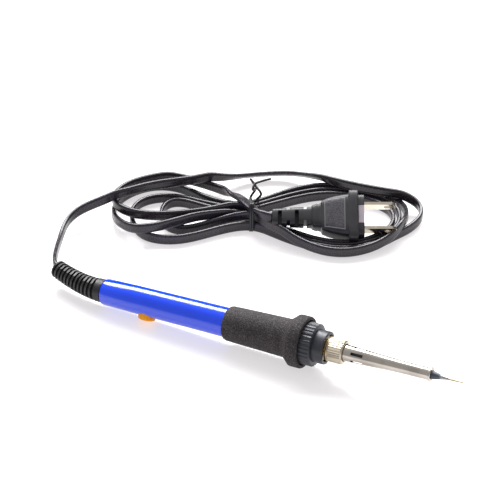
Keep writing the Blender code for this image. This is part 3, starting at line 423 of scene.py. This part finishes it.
def rod(name, pts, radius, mat, m=10):
    """Round wire swept along points given in layout units."""
    P = [Vector((p[0], p[1], max(p[2], radius + 0.04))) for p in evenly(catmull(pts, 8), 0.6)]
    bm = bmesh.new()
    rows = []
    ref = Vector((0, 0, 1))
    for i, p in enumerate(P):
        tan = (P[min(len(P) - 1, i + 1)] - P[max(0, i - 1)]).normalized()
        if i == 0 and abs(tan.z) > 0.9:
            ref = Vector((1, 0, 0))
        ref = (ref - tan * ref.dot(tan)).normalized()
        other = tan.cross(ref)
        r = radius * (0.8 if i in (0, len(P) - 1) else 1.0)
        rows.append([bm.verts.new(lay(*(p + ref * r * math.cos(2 * math.pi * k / m) + other * r * math.sin(2 * math.pi * k / m)))) for k in range(m)])
    for j in range(len(rows) - 1):
        for i in range(m):
            k = (i + 1) % m
            bm.faces.new((rows[j][i], rows[j][k], rows[j + 1][k], rows[j + 1][i]))
    bm.faces.new(rows[0])
    bm.faces.new(rows[-1])
    bmesh.ops.recalc_face_normals(bm, faces=bm.faces)
    me = bpy.data.meshes.new(name)
    bm.to_mesh(me)
    bm.free()
    me.shade_smooth()
    me.materials.append(mat)
    return col(bpy.data.objects.new(name, me))


cord = strap("flat_cord", cord_line, lead_roll, CORD_W, CORD_T, M_CORD)
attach(cord, "handle")
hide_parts("cord_lead", "cord_hank", "cord_tail")
# soft wire tie, twice round the bundle, its two ends left standing behind
TIE_X = -29.6
near_tie = [p for p in cord_line if abs(p[0] - TIE_X) < 2.6 and p[1] < 168]
y0, y1 = min(p[1] for p in near_tie) - 2.1, max(p[1] for p in near_tie) + 2.1


def top_at(y):
    """Height of the bundle's upper side at y, for the tie to lie on."""
    zs = [p[2] + CORD_W / 2 + 0.7 for p in near_tie if abs(p[1] - y) < 3.0]
    return max(zs) if zs else 6.8


mid_y = 0.5 * (y0 + y1)
tie_pts = [(-30.4, 155.0, 19.4), (-27.1, 151.0, 16.4), (-24.2, 147.6, 14.0), (TIE_X + 3.6, y1 - 3.0, top_at(y1 - 3.0) + 0.6),
           (TIE_X + 1.0, y1 - 6.0, top_at(y1 - 6.0) + 0.3), (TIE_X + 0.9, mid_y, top_at(mid_y)), (TIE_X + 0.7, y0 + 3.0, top_at(y0 + 3.0)),
           (TIE_X + 0.6, y0 + 0.6, top_at(y0 + 1.0) * 0.86), (TIE_X + 0.4, y0 - 0.1, 3.2), (TIE_X + 0.2, y0 + 1.4, 0.85), (TIE_X, mid_y, 0.78),
           (TIE_X - 0.3, y1 - 1.4, 0.85), (TIE_X - 0.6, y1 + 0.1, 3.4), (TIE_X - 0.6, y1 - 0.8, top_at(y1 - 1.0) * 0.86), (TIE_X - 0.4, y1 - 4.0, top_at(y1 - 4.0) + 0.1),
           (TIE_X - 0.2, mid_y, top_at(mid_y) + 0.1), (TIE_X - 0.5, y0 + 3.0, top_at(y0 + 3.0) + 0.1), (TIE_X - 0.6, y0 + 0.6, top_at(y0 + 1.0) * 0.86),
           (TIE_X - 0.8, y0 - 0.1, 3.2), (TIE_X - 1.0, y0 + 1.4, 0.85), (TIE_X - 1.2, mid_y, 0.78), (TIE_X - 1.3, y1 - 1.4, 0.85), (TIE_X - 1.2, y1 + 0.3, 3.6),
           (TIE_X - 0.4, y1 - 0.4, top_at(y1 - 1.0) + 0.4), (TIE_X + 2.4, y1 - 1.2, 13.0), (TIE_X + 0.7, 149.0, 15.6), (TIE_X + 1.9, 152.0, 17.6), (-23.6, 154.2, 18.2), (-18.2, 156.0, 18.7)]
M_TIE = moulded("tie_coating", (0.006, 0.006, 0.007), (0.018, 0.017, 0.019), (0.30, 0.45), 1500.0)
tie = rod("wire_tie", tie_pts, 0.72, M_TIE)
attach(tie, "handle")
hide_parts("twist_tie")

def grip_foam():
    """Fine-celled foam rubber: speckled, matt, slightly uneven."""
    n = Nodes("grip_foam")
    cell = n.voronoi(1900.0)
    fine = n.noise(5200.0, 4.0, 0.7)
    drift = n.noise(240.0, 4.0, 0.6)
    both = n.math("ADD", n.math("MULTIPLY", drift, 0.16), n.math("ADD", n.math("MULTIPLY", cell, 0.42), n.math("MULTIPLY", fine, 0.55)))
    base = n.ramp(both, [(0.34, (0.008, 0.0068, 0.0072)), (0.52, (0.022, 0.0185, 0.020)), (0.70, (0.085, 0.075, 0.079))])
    r = n.rng(fine, 0.3, 0.7, 0.62, 0.85)
    h = n.math("ADD", n.math("MULTIPLY", cell, 0.6), n.math("MULTIPLY", fine, 0.5))
    return n.set(base=base, rough=r, normal=n.bump(h, 0.95, 0.00026), spec=0.30)


def tip_plating():
    """Oxidised dark collar cone, bare plated shank and a tinned golden point."""
    n = Nodes("tip_plating")
    local = n.mapping(scale=(UNIT, UNIT, UNIT), loc=tuple(iron(0)), rot=(0.0, -TILT, 0.0), kind="TEXTURE")
    sep = n.new("ShaderNodeSeparateXYZ")
    n.link(local, sep.inputs[0])
    haze = n.noise(900.0, 4.0, 0.6)
    along = n.math("ADD", sep.outputs[0], n.math("MULTIPLY", n.math("SUBTRACT", haze, 0.5), 1.6))
    base = n.ramp(n.rng(along, 228.0, 247.0), [(0.0, (0.075, 0.085, 0.105)), (0.24, (0.11, 0.12, 0.14)), (0.30, (0.42, 0.42, 0.44)),
                                               (0.55, (0.46, 0.43, 0.38)), (0.66, (0.46, 0.35, 0.18)), (0.86, (0.42, 0.31, 0.15)), (1.0, (0.26, 0.21, 0.15))])
    rough = n.rng(n.math("ADD", n.rng(along, 233.0, 235.0, 0.46, 0.20), n.math("MULTIPLY", haze, 0.12)), 0.0, 1.0, 0.0, 1.0)
    metal_ = n.rng(along, 232.8, 235.0, 0.75, 1.0)
    return n.set(base=base, rough=rough, metal=metal_, normal=n.bump(n.noise(2400.0, 5.0, 0.6), 0.3, 0.00004))


def plug_vinyl():
    """Grained vinyl of the plug, with a framed panel moulded into its broad sides; painted highlights lighten the
    panel's grain into flecks and its raised border into a line.
    """
    n = Nodes("plug_vinyl")
    at = lay(35.4, 121.7, 13.65)
    local = n.mapping(scale=(UNIT, UNIT, UNIT), loc=tuple(at), rot=(math.radians(35.0), 0.0, TURN), kind="TEXTURE")
    sep = n.new("ShaderNodeSeparateXYZ")
    n.link(local, sep.inputs[0])
    x, y, z = sep.outputs
    dx = n.math("ABSOLUTE", n.math("ADD", x, 17.1))
    taper = n.math("ADD", 9.2, n.math("MULTIPLY", n.math("ADD", x, 17.1), 0.16))
    ex = n.math("SUBTRACT", 6.1, dx)
    ey = n.math("SUBTRACT", taper, n.math("ABSOLUTE", y))
    inside = n.math("SUBTRACT", n.math("MINIMUM", ex, ey), 0.0)
    broad = n.rng(n.math("ABSOLUTE", z), 5.2, 5.8)
    edge = n.math("SUBTRACT", 1.0, n.math("DIVIDE", n.math("ABSOLUTE", n.math("SUBTRACT", inside, 0.35)), 0.42), clamp=True)
    edge = n.math("MULTIPLY", edge, broad)
    field = n.math("MULTIPLY", n.rng(inside, 0.6, 0.9), broad)
    leather = n.voronoi(1.15, local)
    leather2 = n.voronoi(2.3, local)
    grain = n.math("ADD", n.math("MULTIPLY", leather, 0.65), n.math("MULTIPLY", leather2, 0.35))
    fine = n.noise(2600.0, 5.0, 0.62)
    drift = n.noise(160.0, 3.0, 0.55)
    base = n.ramp(n.math("ADD", n.math("MULTIPLY", drift, 0.6), n.math("MULTIPLY", fine, 0.4)), [(0.36, (0.010, 0.009, 0.0115)), (0.64, (0.023, 0.021, 0.026))])
    # painted highlight: lighter flecks on the panel's grain stand in for glints of light on it
    speck = n.math("MULTIPLY", field, n.rng(grain, 0.25, 0.62))
    base = n.mix(n.math("MULTIPLY", speck, 0.42), base, (0.125, 0.115, 0.135))
    # painted highlight: a lighter line along the raised panel border
    base = n.mix(n.math("MULTIPLY", edge, 0.85), base, (0.24, 0.23, 0.25))
    h = n.math("ADD", n.math("MULTIPLY", edge, 1.0), n.math("ADD", n.math("MULTIPLY", n.math("MULTIPLY", grain, field), 0.9), n.math("MULTIPLY", fine, 0.25)))
    r = n.rng(fine, 0.3, 0.7, 0.34, 0.52)
    return n.set(base=base, rough=r, normal=n.bump(h, 0.7, 0.00022), spec=0.5)


def blue_tube():
    """Glossy blue tube with faint flow marks along it; its colour carries a painted reflection of the bright table,
    paler violet-blue along the underside and deeper blue along the upper side."""
    n = Nodes("blue_handle")
    local = n.mapping(scale=(UNIT, UNIT, UNIT), loc=tuple(iron(0)), rot=(0.0, -TILT, 0.0), kind="TEXTURE")
    sep = n.new("ShaderNodeSeparateXYZ")
    n.link(local, sep.inputs[0])
    flow = n.noise(0.5, 3.0, 0.55, n.mapping(scale=(0.12, 1.0, 1.0), vec=local))
    drift = n.noise(60.0, 3.0, 0.55)
    # painted reflection: colour set by height across the tube, paler violet-blue below where the bright table is
    # reflected, deeper blue on top
    height = n.math("ADD", n.rng(sep.outputs[2], -7.5, 6.5), n.math("MULTIPLY", n.math("SUBTRACT", flow, 0.5), 0.18))
    base = n.ramp(height, [(0.0, (0.085, 0.12, 0.76)), (0.45, (0.026, 0.080, 0.86)), (0.80, (0.001, 0.064, 0.92)), (1.0, (0.0, 0.055, 0.86))])
    base = n.mix(n.rng(drift, 0.4, 0.7, 0.0, 0.16), base, (0.0, 0.03, 0.50))
    r = n.rng(n.noise(420.0, 5.0, 0.65), 0.3, 0.7, 0.09, 0.17)
    return n.set(base=base, rough=r, normal=n.bump(n.noise(500.0, 6.0, 0.62), 0.10, 0.00002), coat=0.5, coat_rough=0.05)


# ---------------------------------------------------------- CAD node looks
LOOKS = {
    "handle_tube": blue_tube(),
    "cord_boot": moulded("boot_vinyl", (0.008, 0.008, 0.009), (0.022, 0.021, 0.023), (0.38, 0.55), 1500.0, 0.00008, 120.0),
    "grip_sleeve": grip_foam(),
    "insulating_collar": moulded("collar_plastic", (0.016, 0.018, 0.025), (0.040, 0.044, 0.058), (0.30, 0.46), 1600.0, 0.00005, 90.0),
    "temperature_dial": moulded("dial_orange", (1.0, 0.32, 0.0), (1.0, 0.42, 0.008), (0.34, 0.48), 1200.0, 0.00004, 90.0, spec=0.3),
    "tip_nut": metal("nut_nickel", (0.50, 0.44, 0.34), (0.70, 0.63, 0.52), (0.26, 0.38)),
    "threaded_bush": metal("bush_brass", (0.70, 0.48, 0.18), (0.86, 0.66, 0.32), (0.2, 0.34)),
    "tip_enclosure": metal("tube_steel", (0.42, 0.385, 0.34), (0.58, 0.54, 0.485), (0.08, 0.16)),
    "soldering_tip": tip_plating(),
    "heater_flange": metal("flange_steel", (0.50, 0.50, 0.50), (0.64, 0.64, 0.64), (0.3, 0.45)),
    "flange_screw_1": metal("screw_zinc", (0.52, 0.52, 0.50), (0.68, 0.68, 0.64), (0.25, 0.4)),
    "heater_base": moulded("base_ceramic", (0.74, 0.72, 0.66), (0.86, 0.84, 0.79), (0.5, 0.7), 2400.0, 0.00006, 150.0),
    "ceramic_heater": moulded("heater_alumina", (0.70, 0.67, 0.60), (0.84, 0.81, 0.75), (0.4, 0.6), 2600.0, 0.00006, 150.0),
    "heater_lead_a": moulded("lead_glass_sleeve", (0.66, 0.63, 0.56), (0.82, 0.80, 0.74), (0.7, 0.9), 3000.0, 0.00012, 200.0),
    "circuit_board": moulded("board_resist", (0.010, 0.14, 0.05), (0.02, 0.24, 0.09), (0.3, 0.45), 900.0, 0.00003, 300.0),
    "potentiometer_body": moulded("pot_plastic", (0.012, 0.08, 0.32), (0.02, 0.13, 0.48), (0.35, 0.5), 1200.0),
    "potentiometer_shaft": moulded("shaft_plastic", (0.78, 0.78, 0.74), (0.90, 0.90, 0.87), (0.4, 0.55), 1200.0),
    "triac": moulded("epoxy_black", (0.012, 0.012, 0.013), (0.03, 0.03, 0.03), (0.45, 0.6), 2500.0),
    "film_capacitor": moulded("film_red", (0.45, 0.04, 0.015), (0.66, 0.08, 0.03), (0.2, 0.35), 800.0),
    "resistor": moulded("resistor_lacquer", (0.48, 0.35, 0.22), (0.62, 0.48, 0.32), (0.3, 0.45), 1200.0),
    "diac": moulded("diac_lacquer", (0.08, 0.12, 0.42), (0.14, 0.20, 0.56), (0.15, 0.3), 900.0),
    "core_wire_live": moulded("core_brown", (0.12, 0.035, 0.012), (0.20, 0.07, 0.03), (0.35, 0.5), 1500.0),
    "core_wire_neutral": moulded("core_blue", (0.012, 0.05, 0.32), (0.02, 0.09, 0.48), (0.35, 0.5), 1500.0),
    "cord_clamp": moulded("clamp_nylon", (0.66, 0.65, 0.60), (0.80, 0.79, 0.75), (0.4, 0.55), 1500.0),
    "twist_tie": moulded("tie_plastic", (0.010, 0.010, 0.011), (0.028, 0.027, 0.029), (0.35, 0.5), 1500.0),
    "plug_body": plug_vinyl(),
    "plug_insert": moulded("insert_plastic", (0.34, 0.30, 0.34), (0.46, 0.41, 0.46), (0.3, 0.45), 1500.0),
    "plug_blade_upper": metal("blade_nickel", (0.62, 0.55, 0.44), (0.80, 0.74, 0.63), (0.16, 0.28)),
}
for a, b in (("heater_lead_b", "heater_lead_a"), ("flange_screw_2", "flange_screw_1"), ("flange_screw_3", "flange_screw_1"), ("plug_blade_lower", "plug_blade_upper")):
    LOOKS[a] = LOOKS[b]


def shading_group():
    """Modifier that shades round faces smooth and keeps real edges crisp."""
    g = bpy.data.node_groups.new("shade_by_angle", "GeometryNodeTree")
    g.interface.new_socket("Geometry", in_out="INPUT", socket_type="NodeSocketGeometry")
    g.interface.new_socket("Geometry", in_out="OUTPUT", socket_type="NodeSocketGeometry")
    i, o = g.nodes.new("NodeGroupInput"), g.nodes.new("NodeGroupOutput")
    weld = g.nodes.new("GeometryNodeMergeByDistance")
    weld.inputs["Distance"].default_value = 0.000004
    face = g.nodes.new("GeometryNodeSetShadeSmooth")
    face.domain = "FACE"
    edge = g.nodes.new("GeometryNodeSetShadeSmooth")
    edge.domain = "EDGE"
    edge.inputs["Shade Smooth"].default_value = False
    ang = g.nodes.new("GeometryNodeInputMeshEdgeAngle")
    cmp_ = g.nodes.new("FunctionNodeCompare")
    cmp_.data_type, cmp_.operation = "FLOAT", "GREATER_THAN"
    cmp_.inputs[1].default_value = math.radians(30)
    g.links.new(ang.outputs["Unsigned Angle"], cmp_.inputs[0])
    g.links.new(i.outputs[0], weld.inputs["Geometry"])
    g.links.new(weld.outputs[0], face.inputs["Geometry"])
    g.links.new(face.outputs[0], edge.inputs["Geometry"])
    g.links.new(cmp_.outputs[0], edge.inputs["Selection"])
    g.links.new(edge.outputs[0], o.inputs[0])
    return g


SHADE = shading_group()
for name, ob in nodes.items():
    if name not in LOOKS:
        continue
    for k in range(max(1, len(ob.material_slots))):
        if not ob.material_slots:
            ob.data.materials.append(LOOKS[name])
        ob.material_slots[k].material = LOOKS[name]
    mod = ob.modifiers.new("shade_by_angle", "NODES")
    mod.node_group = SHADE

# -------------------------------------------------------------- studio
floor_me = bpy.data.meshes.new("studio_floor")
bm = bmesh.new()
bmesh.ops.create_grid(bm, x_segments=4, y_segments=4, size=3.0)
bm.to_mesh(floor_me)
bm.free()
floor = col(bpy.data.objects.new("studio_floor", floor_me))
floor.location = (0, 0, -0.0001)
n = Nodes("floor_white")
n.set(base=n.ramp(n.noise(3.0, 2.0), [(0.3, (0.44, 0.43, 0.435)), (0.7, (0.46, 0.455, 0.46))]), rough=n.rng(n.noise(40.0, 3.0), 0.3, 0.7, 0.22, 0.30), spec=0.45)
n.b.inputs["Emission Color"].default_value = (1.0, 0.975, 0.99, 1.0)
n.b.inputs["Emission Strength"].default_value = 0.60
floor_me.materials.append(n.mat)

# soft room: bright overhead and in front, darker low down behind, so polished
# parts have something to reflect
world = bpy.data.worlds.new("studio")
world.use_nodes = True
wt = world.node_tree
coord = wt.nodes.new("ShaderNodeTexCoord")
turn = wt.nodes.new("ShaderNodeMapping")
turn.inputs["Rotation"].default_value = (0, 0, -TURN)
sep = wt.nodes.new("ShaderNodeSeparateXYZ")
wt.links.new(coord.outputs["Generated"], turn.inputs["Vector"])
wt.links.new(turn.outputs["Vector"], sep.inputs[0])
low = wt.nodes.new("ShaderNodeValToRGB")
low.color_ramp.interpolation = "EASE"
stops = [(0.0, 0.03), (0.30, 0.05), (0.48, 0.25), (0.62, 0.85), (1.0, 1.0)]
els = low.color_ramp.elements
els[0].position, els[0].color = stops[0][0], (stops[0][1],) * 3 + (1,)
els[1].position, els[1].color = stops[-1][0], (stops[-1][1],) * 3 + (1,)
for p_, v_ in stops[1:-1]:
    e_ = els.new(p_)
    e_.color = (v_, v_, v_ * 1.0, 1)
wt.links.new(sep.outputs[2], low.inputs["Fac"])
back = wt.nodes.new("ShaderNodeMapRange")
for k_, v_ in (("From Min", -0.15), ("From Max", 0.30), ("To Min", 0.0), ("To Max", 1.0)):
    back.inputs[k_].default_value = v_
wt.links.new(sep.outputs[1], back.inputs["Value"])
both = wt.nodes.new("ShaderNodeMix")
both.data_type = "RGBA"
both.inputs[6].default_value = (0.62, 0.61, 0.62, 1)
wt.links.new(back.outputs["Result"], both.inputs[0])
wt.links.new(low.outputs["Color"], both.inputs[7])
wt.links.new(both.outputs[2], wt.nodes["Background"].inputs["Color"])
wt.nodes["Background"].inputs["Strength"].default_value = 0.80
scene.world = world


def area(name, where, size, power, target=(-20, 100, 0), colour=(1, 1, 1)):
    d = bpy.data.lights.new(name, "AREA")
    d.shape = "RECTANGLE"
    d.size, d.size_y = size
    d.energy = power
    d.color = colour
    o = col(bpy.data.objects.new(name, d))
    o.location = lay(*where)
    o.rotation_euler = (lay(*target) - o.location).to_track_quat("-Z", "Y").to_euler()
    return o


area("softbox_back", (-60, 1000, 980), (1.5, 0.55), 36.0)

scene.view_settings.view_transform = "Standard"
scene.view_settings.look = "None"
